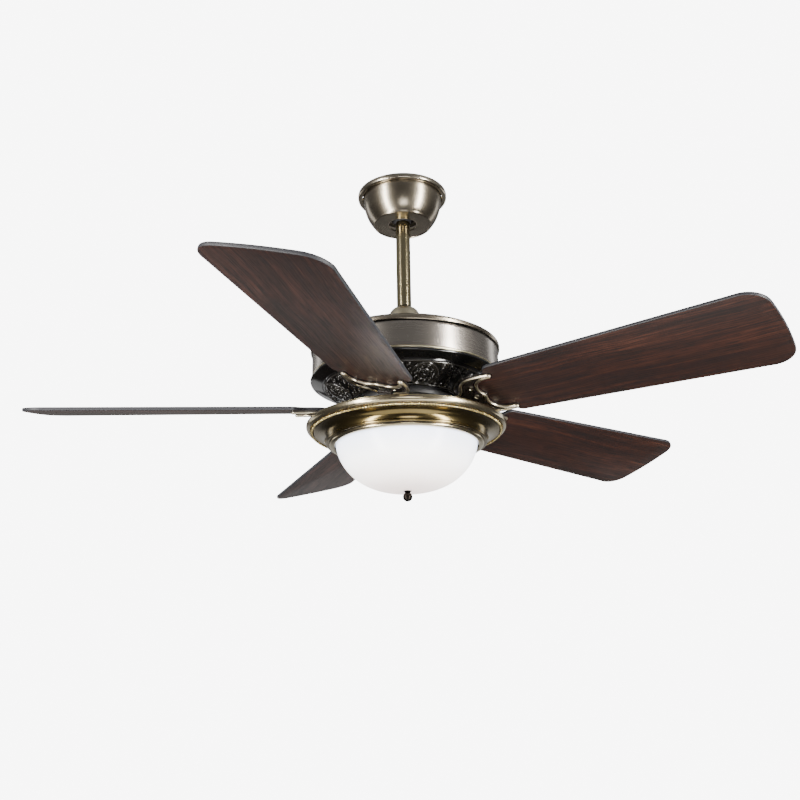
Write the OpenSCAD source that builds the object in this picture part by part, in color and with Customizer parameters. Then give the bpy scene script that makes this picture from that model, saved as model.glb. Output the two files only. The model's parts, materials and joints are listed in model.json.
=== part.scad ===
// Ceiling fan with light: five pitched wooden blades, a drum-shaped motor housing
// on a downrod, and a round light kit with a glass bowl.
// Units are millimetres. The origin is on the fan's axis in the ceiling plane, and
// +Z points up, so the whole fan hangs below the origin.

/* [Overall] */
// Radius from the axis to the blade tips (half of the blade sweep)
tip_r = 660; // [560:5:720]
// Height of the blades' middle plane below the ceiling
blade_drop = 434; // [428:1:444]
// Turn of the first blade from the +X axis, in degrees
rest_turn = 38.3; // [0:0.1:72]

/* [Canopy and hanger] */
// Radius of the ring round the canopy's rim
canopy_ring_r = 84.5; // [80:0.5:90]
// Radius of the canopy's bowl at its top
canopy_r = 75; // [72:0.5:76]
// Radius of the canopy's flat bottom
canopy_foot_r = 53; // [48:1:58]
// Depth of the canopy below the ceiling
canopy_h = 66; // [64:1:72]
// Radius of the hole that the downrod hangs through
canopy_hole_r = 25; // [24:0.5:28]
// Radius of the hanger ball
ball_r = 26; // [25:0.5:27]
// Depth of the hanger ball's centre below the ceiling
ball_drop = 39; // [38:0.5:41]
// Distance between the two ceiling screws
ceiling_screw_pitch = 88.9; // [80:0.1:92]

/* [Downrod] */
// Outer radius of the downrod pipe
rod_r = 13.35; // [12:0.05:13.4]
// Depth of the downrod's lower end below the ceiling
rod_foot_drop = 264; // [262:1:266]
// Depth of the top of the coupling cover below the ceiling
cover_drop = 238; // [234:1:242]

/* [Motor housing] */
// Radius of the band round the motor
band_r = 168; // [165:0.5:170]
// Depth of the band's top edge below the ceiling
band_drop = 331; // [330:0.5:334]
// Height of the band
band_h = 46; // [44:0.5:48]
// Radius of the rolled lip on the housing's top cover
lip_r = 171.2; // [169:0.2:173]
// Thickness of the spun sheet metal
sheet_t = 1.2; // [1:0.1:1.5]
// Radius of the rotor drum inside the housing
rotor_r = 92; // [88:1:94]

/* [Blades] */
// Pitch of the blades, in degrees
pitch = 15; // [8:0.5:16]
// Thickness of the blades
blade_t = 6; // [5:0.5:7]
// Half width of a blade at its root
blade_root_w = 70; // [64:1:74]
// Half width of a blade near its tip
blade_tip_w = 92; // [80:1:96]
// Radius of the blade tip's corners
tip_corner_r = 38; // [20:1:45]

/* [Light kit] */
// Radius of the light kit's rim
pan_r = 177.4; // [172:0.2:182]
// Depth of the light kit's rim below the ceiling
pan_drop = 464.6; // [463:0.2:467]
// Radius of the glass bowl at its top
glass_r = 124.8; // [120:0.2:126]
// Depth of the glass bowl from its widest level to its bottom
glass_h = 85; // [80:0.5:90]
// Thickness of the glass
glass_t = 3.5; // [3:0.5:4]
// Radius of the ball on the finial
finial_r = 8.4; // [7:0.1:10]

/* [Hidden] */
$fn = 96;
BLADES = 5;
step_angle = 360 / BLADES;

// Levels down the axis
z_ball = -ball_drop;
z_blade = -blade_drop;
z_band_top = -band_drop;
z_band_foot = z_band_top - band_h;
z_pan = -pan_drop;
z_bowl = z_pan - 33;            // the widest level of the glass bowl
z_reflector = z_pan - 22.9;     // top face of the plate that carries the lamps
z_dome = -281;                  // the flat middle of the housing's top cover
z_flange = z_dome - sheet_t;    // where the coupler's flange meets that cover
z_iron_tab = z_blade + 4;       // top face of the blade irons' inner tabs
z_rotor_top = -332;
z_rotor_foot = -417;
z_stator_top = z_rotor_top - 24;
z_stator_foot = z_rotor_foot + 24;
z_finial = z_bowl - glass_h - 6.2;

// Hanger
socket_gap = 0.15;              // between the hanger ball and its socket
ceiling_slot_l = 14;
ceiling_slot_w = 5.2;
bracket_t = 2.5;
leg_x = 31.5;
ear_x = 70.5;
canopy_screw_z = -7;
pin_r = 3;
rod_bore_r = 10.5;
rod_top = z_ball + 13;
ball_pin_z = z_ball;
clevis_z = -253;

// Motor
shaft_r = 8.5;
shaft_bore_r = 5;
run_gap = 0.05;                 // radial running clearance in the bearings
stator_r = 70;
air_gap = 0.8;
teeth = 12;
tooth_w = 14;
bearing_r = 20;
bearing_h = 12;
fly_r = 89;

// Screws and rods
iron_screw_r = 2.5;
blade_screw_r = 2.2;
light_rod_r = 3;
iron_screw_at = [[74, 11], [74, -11]];
blade_screw_at = [[150, 26], [146, 0], [150, -26]];

// ---- Helpers ----

// Points of a quadratic curve from a to c, drawn towards b
function curve(a, b, c, n = 8) =
    [for (i = [0 : n]) let (t = i / n) pow(1 - t, 2) * a + 2 * t * (1 - t) * b + t * t * c];

// Points of an arc about a centre
function arc(centre, r, from, to, n = 8) =
    [for (i = [0 : n]) let (a = from + (to - from) * i / n) centre + r * [cos(a), sin(a)]];

// The unit normal on the left of a path at point i
function left_normal(p, i) =
    let (d = p[min(i + 1, len(p) - 1)] - p[max(i - 1, 0)]) [-d[1], d[0]] / norm(d);

// The same path, moved sideways to its left by d
function beside(p, d) = [for (i = [0 : len(p) - 1]) p[i] + d * left_normal(p, i)];

function backwards(p) = [for (i = [len(p) - 1 : -1 : 0]) p[i]];
function mirrored(p) = [for (q = backwards(p)) [q[0], -q[1]]];

// Sheet metal spun round the axis: path is its outer profile, and t its thickness
module spun(path, t) {
    rotate_extrude()
        polygon(concat(path, backwards(beside(path, t))));
}

// A ring of rectangular section between two heights
module ring(outer, inner, top, foot) {
    rotate_extrude()
        translate([inner, foot])
            square([outer - inner, top - foot]);
}

module column(r, top, foot) {
    translate([0, 0, foot])
        cylinder(r = r, h = top - foot);
}

// A rod along the X axis
module cross_rod(r, length, z) {
    translate([-length / 2, 0, z])
        rotate([0, 90, 0])
            cylinder(r = r, h = length);
}

module slot_2d(length, width) {
    square([length - width, width], center = true);
    for (side = [-1, 1])
        translate([side * (length - width) / 2, 0])
            circle(d = width);
}

// A pan-head screw that points up, with its head's top face below the origin
module screw_up(r, length, head_r, head_h) {
    column(r, length, 0);
    column(head_r, 0, -head_h);
}

module around(count, r = 0, start = 0) {
    for (i = [0 : count - 1])
        rotate([0, 0, start + 360 * i / count])
            translate([r, 0, 0])
                children();
}

// Places something at blade number i
module at_blade(i) {
    rotate([0, 0, rest_turn + step_angle * (i - 1)])
        translate([0, 0, z_blade])
            children();
}

// ---- Ceiling parts ----

module hanger_bracket() {
    seat_top = z_ball - 3;
    seat_foot = z_ball - 15;
    color("#8a8d90")
    difference() {
        union() {
            translate([-55, -22, -bracket_t])
                cube([110, 44, bracket_t]);
            translate([-ear_x - bracket_t, -8, -bracket_t])
                cube([2 * (ear_x + bracket_t), 16, bracket_t]);
            for (side = [-1, 1]) {
                translate([side * (ear_x + bracket_t / 2) - bracket_t / 2, -8, -12])
                    cube([bracket_t, 16, 12]);
                translate([side * (leg_x + bracket_t / 2) - bracket_t / 2, -14, seat_foot])
                    cube([bracket_t, 28, -seat_foot]);
            }
            column(leg_x + 1, seat_top, seat_foot);
        }
        translate([0, 0, z_ball])
            sphere(r = ball_r + socket_gap);
        translate([-rod_r - 0.5, 0, seat_foot - 1])
            cube([2 * rod_r + 1, 2 * leg_x, seat_top - seat_foot + 2]);
        for (side = [-1, 1])
            translate([side * ceiling_screw_pitch / 2, 0, -bracket_t - 1])
                linear_extrude(bracket_t + 2)
                    slot_2d(ceiling_slot_l, ceiling_slot_w);
        column(11, 1, -bracket_t - 1);
        cross_rod(2, 200, canopy_screw_z);
    }
}

module canopy() {
    wall = concat(
        [[canopy_r, -0.8]],
        curve([canopy_r, -13], [canopy_r - 4, -46], [canopy_foot_r + 2, 2 - canopy_h]),
        [[canopy_foot_r - 2, -canopy_h], [canopy_hole_r, -canopy_h]]
    );
    color("#7d7364")
    difference() {
        spun(wall, -sheet_t);
        cross_rod(2.2, 200, canopy_screw_z);
    }
}

module canopy_ring() {
    rim = concat(
        [[77, -0.6]],
        arc([canopy_ring_r - 3.4, -4], 3.4, 90, 0, 4),
        arc([canopy_ring_r - 3.4, -8], 3.4, 0, -90, 4),
        [[canopy_r + 1.2, -11.4]]
    );
    color("#a59a84")
        spun(rim, -sheet_t);
}

module canopy_screws() {
    color("#8d8064")
        for (side = [0, 180])
            rotate([0, 0, side])
                translate([canopy_r + 0.1, 0, canopy_screw_z])
                    rotate([0, -90, 0])
                        screw_up(1.9, 6, 3, 2);
}

module receiver_box() {
    color("#e8e6e0")
        translate([-28, -40, -21])
            cube([56, 80, 17]);
}

// ---- Hanging parts ----

module hanger_ball() {
    color("#2a2826")
    difference() {
        translate([0, 0, z_ball])
            sphere(r = ball_r);
        column(ball_r + 1, z_ball + ball_r + 1, z_ball + 10);
        column(rod_r + 0.1, 0, -canopy_h - 10);
        cross_rod(pin_r + 0.1, 3 * ball_r, ball_pin_z);
    }
}

module ball_pin() {
    color("#b9bcc0")
        cross_rod(pin_r, 2 * ball_r - 4, ball_pin_z);
}

module downrod() {
    color("#8f8058")
    difference() {
        column(rod_r, rod_top, -rod_foot_drop);
        column(rod_bore_r, 0, -rod_foot_drop - 1);
        cross_rod(pin_r + 0.1, 3 * rod_r, ball_pin_z);
        cross_rod(pin_r + 0.1, 3 * rod_r, clevis_z);
    }
}

module rod_collar() {
    color("#26221e")
        ring(rod_r + 1.4, rod_r + 0.1, 2.4 - cover_drop, -cover_drop);
}

module coupling_cover() {
    bell = concat(
        [[rod_r + 0.4, -cover_drop]],
        curve([rod_r + 1.2, -cover_drop], [rod_r + 11, -cover_drop - 2], [rod_r + 15, -cover_drop - 14]),
        curve([rod_r + 16.4, -cover_drop - 24], [rod_r + 18, z_dome + 6], [rod_r + 24, z_dome + 1.5], 4)
    );
    color("#c2b48f")
        spun(bell, -sheet_t);
}

module motor_coupler() {
    color("#5b5d60")
    difference() {
        union() {
            column(19.5, -242, z_flange);
            column(38, z_flange, z_flange - 5);
            column(15, z_flange, z_flange - 12);
        }
        column(rod_r + 0.1, -241, -rod_foot_drop);
        column(shaft_r, -rod_foot_drop + 1, z_flange - 13);
        cross_rod(pin_r + 0.1, 60, clevis_z);
        rotate([0, 0, 90])
            cross_rod(2.6, 60, clevis_z + 5);
        around(4, 29, 45)
            column(2, z_flange + 1, z_flange - 6);
    }
}

module clevis_pin() {
    color("#b9bcc0")
    difference() {
        union() {
            cross_rod(pin_r, 46, clevis_z);
            translate([-25, 0, clevis_z])
                rotate([0, 90, 0])
                    cylinder(r = 5, h = 3);
        }
        translate([21.3, 0, 0])
            column(0.9, clevis_z + 5, clevis_z - 5);
    }
}

module cotter_pin() {
    color("#c9ccd0")
        translate([21.3, 0, 0]) {
            column(0.8, clevis_z + 6, clevis_z - 6);
            translate([0, 0, clevis_z + 7.4])
                rotate([0, 90, 0])
                    rotate_extrude()
                        translate([1.8, 0])
                            circle(r = 0.7, $fn = 16);
        }
}

module coupler_screws() {
    color("#3c3e40")
        for (side = [0, 180])
            rotate([0, 0, side])
                translate([0, rod_r + 0.1, clevis_z + 5])
                    rotate([-90, 0, 0])
                        cylinder(r = 2.5, h = 8);
}

module lead_wires() {
    colours = ["#1d1d1f", "#e9e9e6", "#2f5db0", "#b23a2e"];
    // Two wires pass on each side of the pins that cross the rod
    places = [[-2, 5.5], [2, 5.5], [-2, -5.5], [2, -5.5]];
    for (i = [0 : 3])
        color(colours[i])
            translate(places[i])
                column(1.2, rod_top - 1, -rod_foot_drop);
}

module motor_shaft() {
    color("#b4b7ba")
    difference() {
        column(shaft_r - 0.02, -rod_foot_drop, z_pan + 2);
        column(shaft_bore_r, 0, z_pan);
    }
}

module stator_core() {
    color("#6d6f72")
    difference() {
        union() {
            ring(34, shaft_r, z_stator_top, z_stator_foot);
            ring(stator_r, stator_r - 6, z_stator_top, z_stator_foot);
            around(teeth)
                translate([32, -tooth_w / 4, z_stator_foot])
                    cube([stator_r - 35, tooth_w / 2, z_stator_top - z_stator_foot]);
        }
        around(teeth, stator_r, 180 / teeth)
            column(1.5, 0, z_rotor_foot);
    }
}

module stator_windings() {
    overhang = 6;
    gap = 0.2;
    color("#a5572a")
        around(teeth)
            difference() {
                translate([38, -tooth_w / 2 - 0.6, z_stator_foot - overhang])
                    cube([22, tooth_w + 1.2, z_stator_top - z_stator_foot + 2 * overhang]);
                translate([37, -tooth_w / 4 - gap, z_stator_foot - gap])
                    cube([24, tooth_w / 2 + 2 * gap, z_stator_top - z_stator_foot + 2 * gap]);
            }
}

module housing_dome() {
    outside = concat(
        [[20, z_dome]],
        curve([40, z_dome], [140, z_dome - 22], [lip_r - 3, z_dome - 40], 10),
        [[lip_r, z_dome - 43.5], [lip_r, z_dome - 47], [lip_r - 1.6, z_dome - 49]]
    );
    color("#8d857c")
    difference() {
        spun(outside, -sheet_t);
        around(4, 29, 45)
            column(2.2, z_dome + 1, z_flange - 1);
    }
}

module dome_screws() {
    color("#8d8064")
        translate([0, 0, z_dome])
            around(4, 29, 45)
                rotate([180, 0, 0])
                    screw_up(1.9, 6, 3.6, 2);
}

module housing_band() {
    color("#837a71")
        spun([
            [band_r - 4, z_band_top + 0.6], [band_r - 1, z_band_top], [band_r, z_band_top - 2],
            [band_r - 0.4, z_band_foot + 1]
        ], -sheet_t);
}

module band_bead() {
    color("#c9bfa6")
        rotate_extrude()
            intersection() {
                translate([band_r - 0.8, z_band_foot - 1])
                    circle(r = 2.2, $fn = 32);
                translate([band_r - 3, z_band_foot - 4])
                    square([6, 4.9]);
            }
}

// Outline of the lower housing: a neck inside the band, a rolled lip under the bead,
// a smooth margin, and the shallow bowl that carries the filigree
housing_lip_r = band_r + 3;
housing_neck = [
    [band_r - 6, z_band_foot + 2], [band_r - 5.4, z_band_foot - 2.4], [band_r - 3, z_band_foot - 3.6]
];
housing_lip = arc([housing_lip_r - 2.2, z_band_foot - 6], 2.2, 90, -70, 6);
housing_margin = curve([166, z_band_foot - 8.8], [158, z_band_foot - 11.6], [150, z_band_foot - 13.6], 4);
housing_bowl = curve([147, z_band_foot - 15], [137, z_band_foot - 27], [96, z_band_foot - 44], 10);

module lower_housing() {
    color("#0f0f10")
        spun(concat(housing_neck, housing_lip, housing_margin, housing_bowl), -sheet_t);
}

module housing_medallions() {
    lean = 26.6;
    color("#171718")
        around(8, 121, -75)
            translate([0, 0, z_band_foot - 32.4])
                rotate([0, 180 - lean, 0])
                    for (ring_r = [11, 24])
                        rotate_extrude()
                            translate([ring_r, 0])
                                circle(r = 1.8, $fn = 24);
}

module light_fitter() {
    color("#9a9da0")
    difference() {
        union() {
            column(30, z_pan + 14, z_pan + 11);
            column(14, z_pan + 14, z_pan + 7);
            ring(30, 27, z_pan + 14, z_pan + 6);
        }
        column(shaft_r, z_pan + 20, z_pan);
        around(3, 21, 60)
            column(2, z_pan + 20, z_pan);
    }
}

module shaft_nut() {
    color("#c0c3c6")
    difference() {
        translate([0, 0, z_pan + 2.4])
            cylinder(r = 13, h = 4.4, $fn = 6);
        column(shaft_r, z_pan + 10, z_pan);
    }
}

module pan_cover() {
    color("#6a5a34")
    difference() {
        union() {
            spun([
                [15, z_pan + 6], [40, z_pan + 6], [60, z_pan + 2.6],
                [130, z_pan + 1.6], [173, z_pan + 1.2]
            ], -1);
            around(3, 36, 60)
                column(3, z_pan + 5.4, z_reflector);
        }
        around(3, 21, 60)
            column(2.2, z_pan + 10, z_pan);
    }
}

pan_rim = [
    [166, z_pan], [pan_r - 2.8, z_pan], [pan_r, z_pan - 1.6], [pan_r, z_pan - 4.4],
    [pan_r - 2, z_pan - 8], [pan_r - 6.4, z_pan - 10.9], [pan_r - 8, z_pan - 10],
    [pan_r - 13, z_pan - 12]
];
pan_cove = concat(
    curve([pan_r - 13.6, z_pan - 14], [145, z_pan - 16.4], [141.4, z_pan - 29]),
    arc([140.4, z_pan - 31.6], 2.4, 60, -80, 5),
    [[138.6, z_pan - 34], [134, z_pan - 34]]
);

module light_pan() {
    color("#7a6736")
        spun(concat(pan_rim, pan_cove), -1);
}

module rope_ring() {
    color("#b8944a")
        rotate_extrude()
            translate([pan_r - 9.8, z_pan - 13.6])
                circle(r = 2.2, $fn = 24);
}

module bowl_collar() {
    color("#8b7440")
        spun(concat(
            [[133.4, z_pan - 34.1], [136.2, z_pan - 34.1]],
            curve([137, z_pan - 34.8], [136.6, z_pan - 38.6], [130.6, z_pan - 39.4], 6),
            [[glass_r + 2.4, z_pan - 39]]
        ), -1);
}

module reflector_plate() {
    color("#f1f0ec")
    difference() {
        ring(138, light_rod_r + 0.3, z_reflector, z_reflector - 1.2);
        around(3, 60, 60)
            column(6, z_reflector + 1, z_reflector - 2);
    }
}

module bowl_gasket() {
    color("#dedad0")
        ring(glass_r, glass_r - 8, z_reflector - 1.2, z_reflector - 3.7);
}

module capacitor() {
    color("#22242a")
        translate([40, -16, z_pan - 22])
            cube([50, 32, 16]);
}

module pan_screws() {
    color("#8d8064")
        translate([0, 0, z_pan + 5])
            around(3, 21, 60)
                screw_up(1.9, 9, 3.6, 2.2);
}

// Direction of the lamps: out from the axis and a little down
lamp_tilt = 15;
module at_lamps() {
    around(3, 24, 30)
        translate([0, 0, z_reflector - 17])
            rotate([0, 90 + lamp_tilt, 0])
                children();
}

module lamp_holders() {
    color("#f4f2ec")
    difference() {
        union() {
            at_lamps()
                cylinder(r = 13.5, h = 26);
            around(3, 24, 30)
                translate([4, -7, z_reflector - 12])
                    cube([12, 14, 10.8]);
        }
        at_lamps()
            translate([0, 0, 4])
                cylinder(r = 11.3, h = 30);
    }
}

module bulb_caps() {
    color("#c8c4b8")
        at_lamps()
            translate([0, 0, 4.4])
                cylinder(r = 11, h = 26);
}

module bulbs() {
    color("#fbf6e6")
        at_lamps() {
            translate([0, 0, 30.6])
                cylinder(r1 = 11.5, r2 = 17.5, h = 16);
            translate([0, 0, 55])
                sphere(r = 19.5);
        }
}

module light_rod() {
    color("#b4b7ba")
        column(light_rod_r, z_reflector + 8, z_finial - 2.5);
}

module light_rod_nuts() {
    color("#c0c3c6")
        for (z = [z_reflector + 0.1, z_reflector - 6])
            translate([0, 0, z])
                difference() {
                    cylinder(r = 6, h = 4.6, $fn = 6);
                    translate([0, 0, -1])
                        cylinder(r = light_rod_r, h = 8);
                }
}

// ---- Turning parts ----

module rotor_top() {
    color("#a9acaf")
    difference() {
        union() {
            ring(rotor_r, rotor_r - 4, z_rotor_top - 3, z_rotor_top - 42);
            ring(rotor_r - 1, 21, z_rotor_top, z_rotor_top - 4);
            ring(24, bearing_r, z_rotor_top, z_rotor_top - 16);
        }
        around(20, 62)
            column(5, z_rotor_top + 1, z_rotor_top - 5);
    }
}

module rotor_bottom() {
    color("#a9acaf")
    difference() {
        union() {
            ring(rotor_r, rotor_r - 4, z_rotor_top - 42.2, z_rotor_foot + 3);
            ring(rotor_r - 1, 21, z_rotor_foot + 4, z_rotor_foot);
            ring(24, bearing_r, z_rotor_foot + 16, z_rotor_foot);
        }
        around(20, 62)
            column(5, z_rotor_foot + 5, z_rotor_foot - 1);
    }
}

module rotor_cage() {
    color("#55585c")
        ring(rotor_r - 4.2, stator_r + air_gap, z_rotor_top - 22, z_rotor_foot + 21);
}

// A shielded ball bearing: inner race, outer race with a shield, and the balls between
module bearing(top) {
    mid_r = (bearing_r + shaft_r) / 2;
    color("#c7cacd") {
        ring(mid_r - 2, shaft_r + run_gap, top, top - bearing_h);
        ring(bearing_r - 0.02, mid_r + 2, top, top - bearing_h);
        around(8, mid_r)
            translate([0, 0, top - bearing_h / 2])
                sphere(r = 1.95, $fn = 24);
    }
}

module upper_bearing() {
    bearing(z_rotor_top - 2);
}

module lower_bearing() {
    bearing(z_rotor_foot + 14);
}

module flywheel() {
    color("#1b1b1c")
    difference() {
        union() {
            ring(fly_r, 40, z_rotor_foot, z_iron_tab + 8);
            ring(fly_r - 2, 56, z_iron_tab + 8, z_iron_tab);
        }
        for (i = [1 : BLADES])
            at_blade(i)
                for (at = iron_screw_at)
                    translate([at[0], at[1], 0])
                        column(iron_screw_r, 18, 3);
    }
}

module iron_screws() {
    color("#b59c62")
        for (i = [1 : BLADES])
            at_blade(i)
                for (at = iron_screw_at)
                    translate([at[0], at[1], 0])
                        screw_up(iron_screw_r - 0.1, 12, 4.6, 2.6);
}

// Half outline of a blade iron, from its neck out to its horn and back to the cusp
iron_side = concat(
    curve([114, 16], [124, 17], [131, 33], 5),
    curve([132, 35.5], [141, 53], [162, 54.5], 6),
    curve([166, 54.8], [180, 56], [194, 54.6], 4),
    arc([196, 50], 4.6, 80, -80, 6)
);
iron_fork = concat(
    curve([193, 45.4], [176, 45], [167, 34], 5),
    curve([166, 32], [159, 20], [163.5, 8], 5),
    [[167.5, 2]]
);
iron_half = concat(iron_side, iron_fork);
iron_edge = concat(iron_half, mirrored(iron_half));
iron_inner_half = beside(iron_half, -4.8);
iron_inner = concat(
    [for (p = iron_inner_half) if (p[0] < 190 && p[1] > 3) p],
    mirrored([for (p = iron_inner_half) if (p[0] < 190 && p[1] > 3) p])
);

module blade_iron(i) {
    plate_top = -blade_t / 2;
    color("#2b2621")
        at_blade(i)
            difference() {
                union() {
                    rotate([-pitch, 0, 0]) {
                        translate([0, 0, plate_top - 3.2])
                            linear_extrude(3.2)
                                polygon(iron_edge);
                        translate([0, 0, plate_top - 6.6])
                            linear_extrude(5)
                                difference() {
                                    polygon(iron_edge);
                                    polygon(iron_inner);
                                }
                    }
                    hull() {
                        rotate([-pitch, 0, 0])
                            translate([114, -16, plate_top - 6])
                                cube([2, 32, 6]);
                        translate([93, -15, 0])
                            cube([2, 30, 4]);
                    }
                    linear_extrude(4)
                        translate([60, -15])
                            square([34, 30]);
                }
                for (at = iron_screw_at)
                    translate([at[0], at[1], 0])
                        column(iron_screw_r + 0.2, 6, -2);
                rotate([-pitch, 0, 0])
                    for (at = blade_screw_at)
                        translate([at[0], at[1], 0])
                            column(blade_screw_r + 0.2, 0, -12);
            }
}

// Half outline of a blade from the middle of its root to the middle of its tip
side_slope = (blade_tip_w - blade_root_w) / 400;
function side_w(r) = blade_root_w + side_slope * (r - 200);
tip_arc_r = 568;
tip_arc_x = tip_r - tip_arc_r;
corner_y = side_w(tip_r - tip_corner_r) - tip_corner_r;
corner_x = tip_arc_x + sqrt(pow(tip_arc_r - tip_corner_r, 2) - pow(corner_y, 2));
corner_turn = atan2(corner_y, corner_x - tip_arc_x);
blade_half = concat(
    [[138, 0], [138, 22]],
    curve([140, 27], [148, 47], [160, 48], 5),
    curve([174, 48], [184, 50], [189, 58], 4),
    curve([191, 62], [195, side_w(195)], [204, side_w(204)], 5),
    arc([corner_x, corner_y], tip_corner_r, 90 + atan(side_slope), corner_turn, 10),
    arc([tip_arc_x, 0], tip_arc_r, corner_turn, 0, 5)
);

module blade(i) {
    outline = concat(blade_half, [for (p = mirrored(blade_half)) if (p[1] < 0) p]);
    color("#3f2218")
        at_blade(i)
            rotate([-pitch, 0, 0])
                difference() {
                    translate([0, 0, -blade_t / 2])
                        linear_extrude(blade_t)
                            polygon(outline);
                    for (at = blade_screw_at)
                        translate([at[0], at[1], 0])
                            column(blade_screw_r, 4, -4);
                }
}

module blade_screws() {
    color("#c9b98c")
        for (i = [1 : BLADES])
            at_blade(i)
                rotate([-pitch, 0, 0])
                    for (at = blade_screw_at)
                        translate([at[0], at[1], -blade_t / 2 - 3.2])
                            screw_up(blade_screw_r - 0.05, 8, 4.2, 2.4);
}

// ---- Bowl and finial ----

// Half profile of the bowl with radius a and depth h, from its widest level down to the
// axis: an ellipse with a slightly flatter flank and a fuller bottom
function bowl_curve(a, h, n = 22) =
    [for (i = [0 : n]) let (t = 90 * i / n) [a * pow(cos(t), 0.8), -h * pow(sin(t), 1.15)]];

module glass_bowl() {
    lip = 6;
    outside = concat([[glass_r, lip]], bowl_curve(glass_r, glass_h));
    inside = concat([[glass_r - glass_t, lip]], bowl_curve(glass_r - glass_t, glass_h - glass_t));
    color("#f6f5f2")
        translate([0, 0, z_bowl])
            difference() {
                rotate_extrude()
                    polygon(concat(outside, backwards(inside)));
                column(light_rod_r + 0.8, 0, -glass_h - 5);
            }
}

module bowl_washer() {
    color("#24211d")
        ring(7, light_rod_r + 0.3, z_bowl - glass_h, z_bowl - glass_h - 1);
}

module finial() {
    color("#231e19")
    difference() {
        union() {
            translate([0, 0, z_finial - finial_r / 2])
                sphere(r = finial_r);
            column(5, z_bowl - glass_h - 1.2, z_finial);
        }
        column(light_rod_r + run_gap, 0, z_finial - 3);
    }
}

hanger_bracket();
canopy();
canopy_ring();
canopy_screws();
receiver_box();
hanger_ball();
ball_pin();
downrod();
rod_collar();
coupling_cover();
motor_coupler();
clevis_pin();
cotter_pin();
coupler_screws();
lead_wires();
motor_shaft();
stator_core();
stator_windings();
housing_dome();
dome_screws();
housing_band();
band_bead();
lower_housing();
housing_medallions();
light_fitter();
shaft_nut();
pan_cover();
light_pan();
rope_ring();
bowl_collar();
reflector_plate();
bowl_gasket();
capacitor();
pan_screws();
lamp_holders();
bulb_caps();
bulbs();
light_rod();
light_rod_nuts();
rotor_top();
rotor_bottom();
rotor_cage();
upper_bearing();
lower_bearing();
flywheel();
iron_screws();
blade_screws();
blade_iron(1);  // blade_iron_1
blade_iron(2);  // blade_iron_2
blade_iron(3);  // blade_iron_3
blade_iron(4);  // blade_iron_4
blade_iron(5);  // blade_iron_5
blade(1);  // blade_1
blade(2);  // blade_2
blade(3);  // blade_3
blade(4);  // blade_4
blade(5);  // blade_5
glass_bowl();
bowl_washer();
finial();
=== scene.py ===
import json
import math
import random

import bmesh
import bpy
from mathutils import Matrix, Vector


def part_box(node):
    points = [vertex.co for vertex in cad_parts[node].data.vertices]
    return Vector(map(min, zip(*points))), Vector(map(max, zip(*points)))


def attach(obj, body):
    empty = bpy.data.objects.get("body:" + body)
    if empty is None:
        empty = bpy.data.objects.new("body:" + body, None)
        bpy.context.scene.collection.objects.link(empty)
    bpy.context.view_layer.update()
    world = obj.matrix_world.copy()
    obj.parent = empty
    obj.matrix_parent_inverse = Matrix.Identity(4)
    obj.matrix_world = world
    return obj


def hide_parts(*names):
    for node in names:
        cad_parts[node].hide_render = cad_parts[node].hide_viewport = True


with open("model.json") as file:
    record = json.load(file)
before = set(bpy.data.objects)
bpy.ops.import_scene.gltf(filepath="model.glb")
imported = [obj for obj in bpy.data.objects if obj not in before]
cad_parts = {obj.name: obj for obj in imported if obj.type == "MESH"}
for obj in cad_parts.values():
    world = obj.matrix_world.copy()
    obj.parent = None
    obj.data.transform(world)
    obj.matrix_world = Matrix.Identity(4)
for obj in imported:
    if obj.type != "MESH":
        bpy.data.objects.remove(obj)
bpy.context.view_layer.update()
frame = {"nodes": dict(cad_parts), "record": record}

MM = 0.001
SEGMENTS = 160                  # round the axis
BLADES = 5
PITCH = math.radians(15)        # of the blades
BLADE_T = 6.0                   # thickness of a blade
SHEET = 1.2                     # thickness of the canopy's and the housing's metal
THIN_SHEET = 1.0                # thickness of the bell's and the light pan's metal
ROD_BORE_R = 3.3                # clears the light rod, in the finial and its washer


def round_node(node):
    """Outer radius, top and foot of a CAD node that is round about the axis, in mm."""
    low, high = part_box(node)
    return (high[0] - low[0]) / 2 / MM, high[2] / MM, low[2] / MM


# ---- Curves ----

def curve(a, b, c, n=12):
    """A quadratic curve from a to c, drawn towards b."""
    points = []
    for i in range(n + 1):
        t = i / n
        points.append(tuple((1 - t) ** 2 * p + 2 * t * (1 - t) * q + t * t * r
                            for p, q, r in zip(a, b, c)))
    return points


def arc(centre, radius, start, stop, n=10):
    """Points of an arc, with its angles in degrees."""
    points = []
    for i in range(n + 1):
        angle = math.radians(start + (stop - start) * i / n)
        points.append((centre[0] + radius * math.cos(angle), centre[1] + radius * math.sin(angle)))
    return points


def beside(path, distance, closed=False):
    """The same path, moved sideways to its left."""
    count = len(path)
    moved = []
    for i, (x, y) in enumerate(path):
        before = path[i - 1] if closed else path[max(i - 1, 0)]
        after = path[(i + 1) % count] if closed else path[min(i + 1, count - 1)]
        dx, dy = after[0] - before[0], after[1] - before[1]
        length = math.hypot(dx, dy) or 1.0
        moved.append((x - distance * dy / length, y + distance * dx / length))
    return moved


def mirrored(path):
    """The path's other half, across the blade's middle line."""
    return [(x, -y) for x, y in reversed(path)]


# ---- Meshes ----

def store_grain(mesh, values):
    """Keeps the direction that a brush or the wood's grain follows, as one vector for each vertex."""
    layer = mesh.attributes.new("grain", "FLOAT_VECTOR", "POINT")
    layer.data.foreach_set("vector", [x for value in values for x in value])


def add_piece(name, mesh, materials, body, nodes=(), sharp=32):
    """Makes a finished mesh into a piece that rides on a body and stands for CAD nodes."""
    for material in materials:
        mesh.materials.append(material)
    mesh.shade_smooth()
    mesh.set_sharp_from_angle(angle=math.radians(sharp))
    piece = bpy.data.objects.new(name, mesh)
    bpy.context.scene.collection.objects.link(piece)
    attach(piece, body)
    if nodes:
        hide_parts(*nodes)
    return piece


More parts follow.
